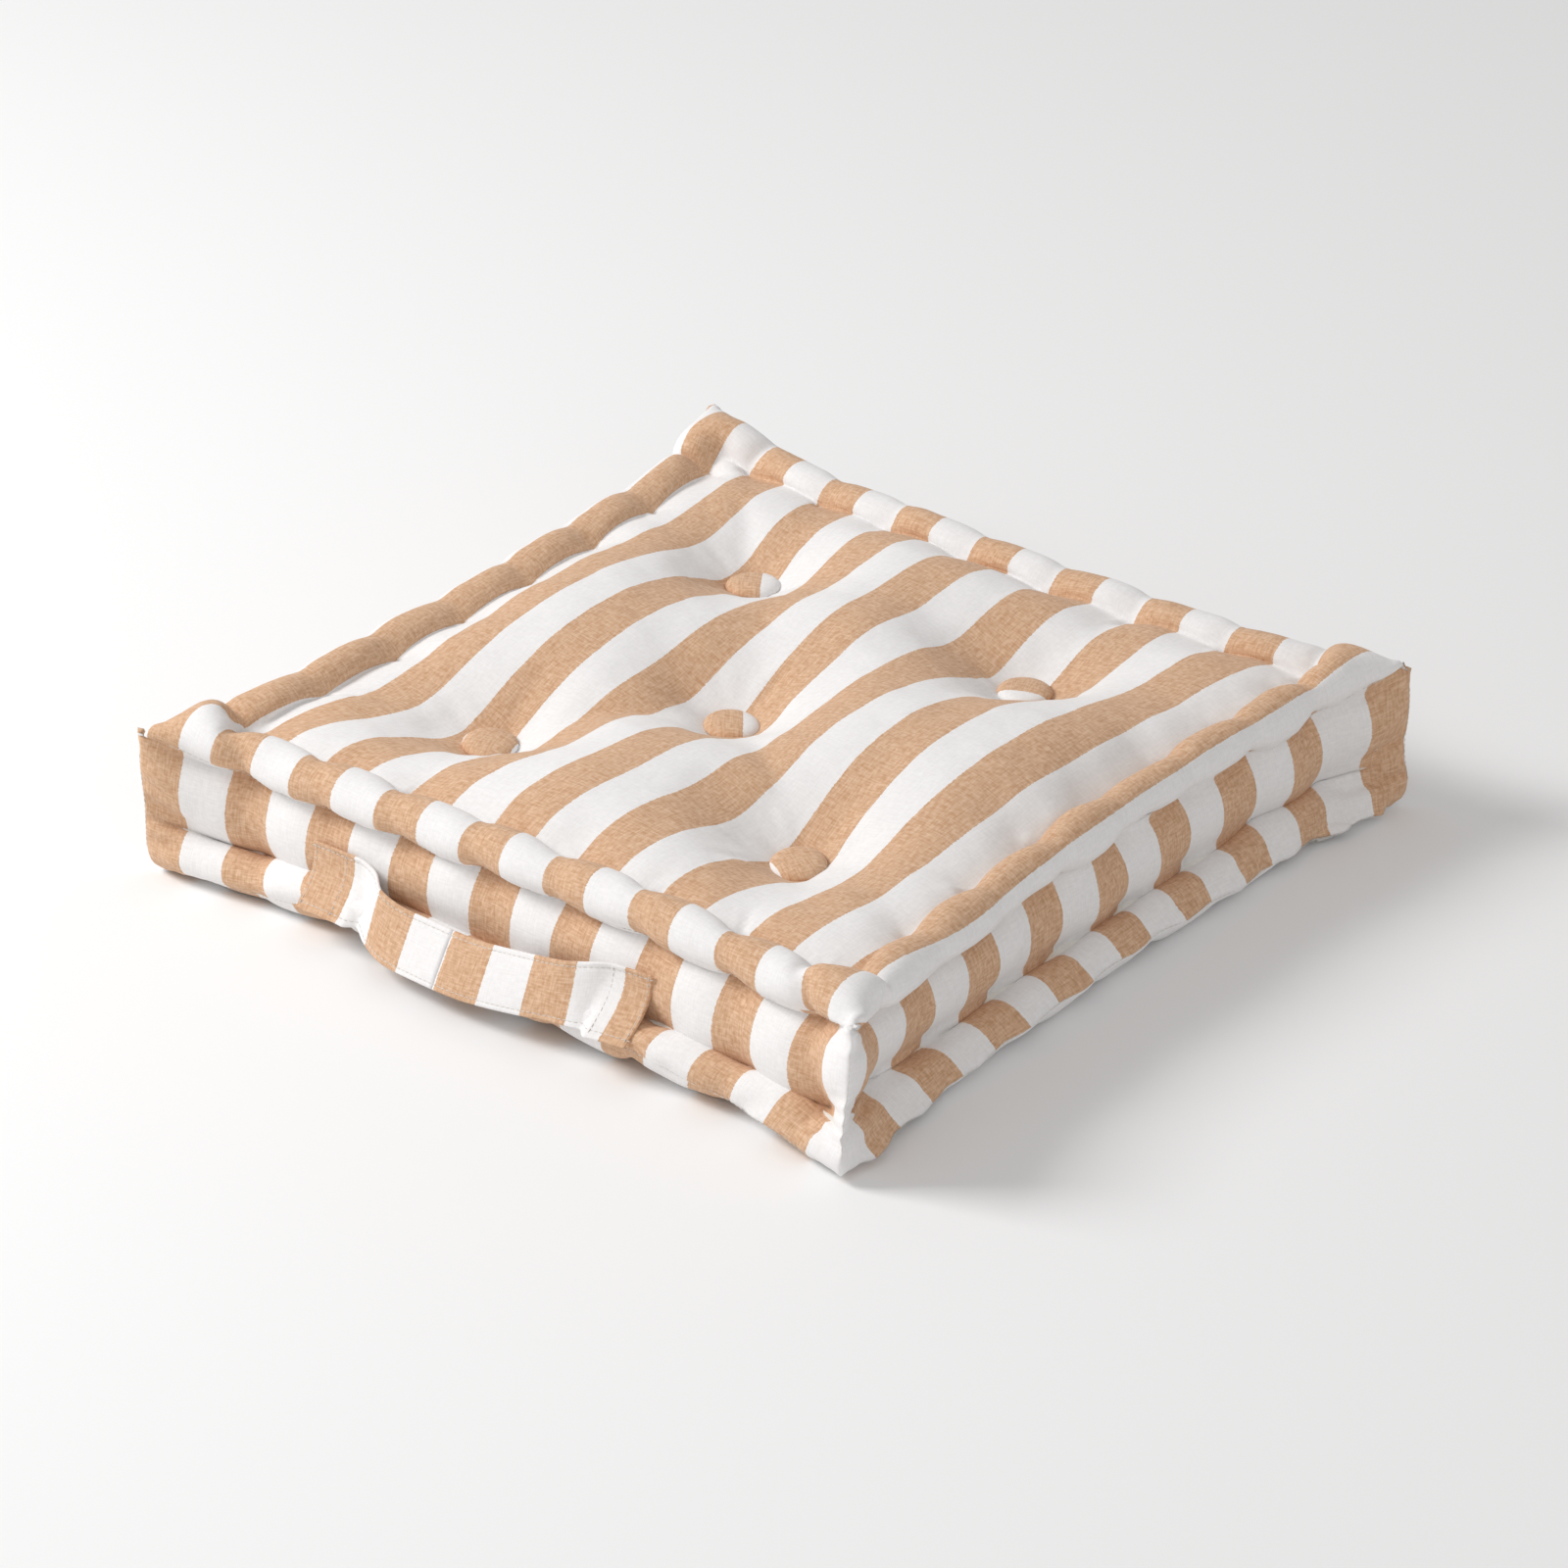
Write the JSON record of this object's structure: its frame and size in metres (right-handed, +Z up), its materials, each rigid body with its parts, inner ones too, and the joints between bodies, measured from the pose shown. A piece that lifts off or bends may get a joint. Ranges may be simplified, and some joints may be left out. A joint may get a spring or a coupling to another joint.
{
  "type": "floor cushion",
  "caption": "Square tufted floor cushion with stitched rolled edges, covered tuft buttons and a cloth carry handle on one side.",
  "frame": {"origin": "middle of the underside, on the floor", "axes": "+Z up, +X along the side with the handle, left to right as one faces it; the handle is on the -Y side"},
  "size_m": [0.45, 0.4553, 0.0896],
  "materials": {
    "striped_cotton": "woven cotton in equal tan and white stripes, matt",
    "fibre_filling": "loose fibre",
    "button_metal": "plain pressed metal",
    "twine": "waxed thread"
  },
  "bodies": {
    "cushion": {"top_panel": "striped_cotton", "bottom_panel": "striped_cotton", "filling_core": "fibre_filling", "side_panel_front": "striped_cotton", "side_panel_right": "striped_cotton", "side_panel_back": "striped_cotton", "side_panel_left": "striped_cotton", "top_roll_wadding_front": "fibre_filling", "top_roll_wadding_right": "fibre_filling", "top_roll_wadding_back": "fibre_filling", "top_roll_wadding_left": "fibre_filling", "bottom_roll_wadding_front": "fibre_filling", "bottom_roll_wadding_right": "fibre_filling", "bottom_roll_wadding_back": "fibre_filling", "bottom_roll_wadding_left": "fibre_filling", "top_button_cover_front_left": "striped_cotton", "top_button_form_front_left": "button_metal", "bottom_button_cover_front_left": "striped_cotton", "bottom_button_form_front_left": "button_metal", "tufting_twine_front_left": "twine", "top_button_cover_front_right": "striped_cotton", "top_button_form_front_right": "button_metal", "bottom_button_cover_front_right": "striped_cotton", "bottom_button_form_front_right": "button_metal", "tufting_twine_front_right": "twine", "top_button_cover_centre": "striped_cotton", "top_button_form_centre": "button_metal", "bottom_button_cover_centre": "striped_cotton", "bottom_button_form_centre": "button_metal", "tufting_twine_centre": "twine", "top_button_cover_back_left": "striped_cotton", "top_button_form_back_left": "button_metal", "bottom_button_cover_back_left": "striped_cotton", "bottom_button_form_back_left": "button_metal", "tufting_twine_back_left": "twine", "top_button_cover_back_right": "striped_cotton", "top_button_form_back_right": "button_metal", "bottom_button_cover_back_right": "striped_cotton", "bottom_button_form_back_right": "button_metal", "tufting_twine_back_right": "twine", "handle_end_left": "striped_cotton", "handle_end_right": "striped_cotton"},
    "handle": {"handle_strap": "striped_cotton"}
  },
  "joints": [
    {"name": "handle_swing", "type": "hinge", "parent": "cushion", "child": "handle", "pos_m": [-0.019, -0.2116, 0.0492], "axis": [-1, 0, 0], "range_deg": [0, 95]}
  ]
}
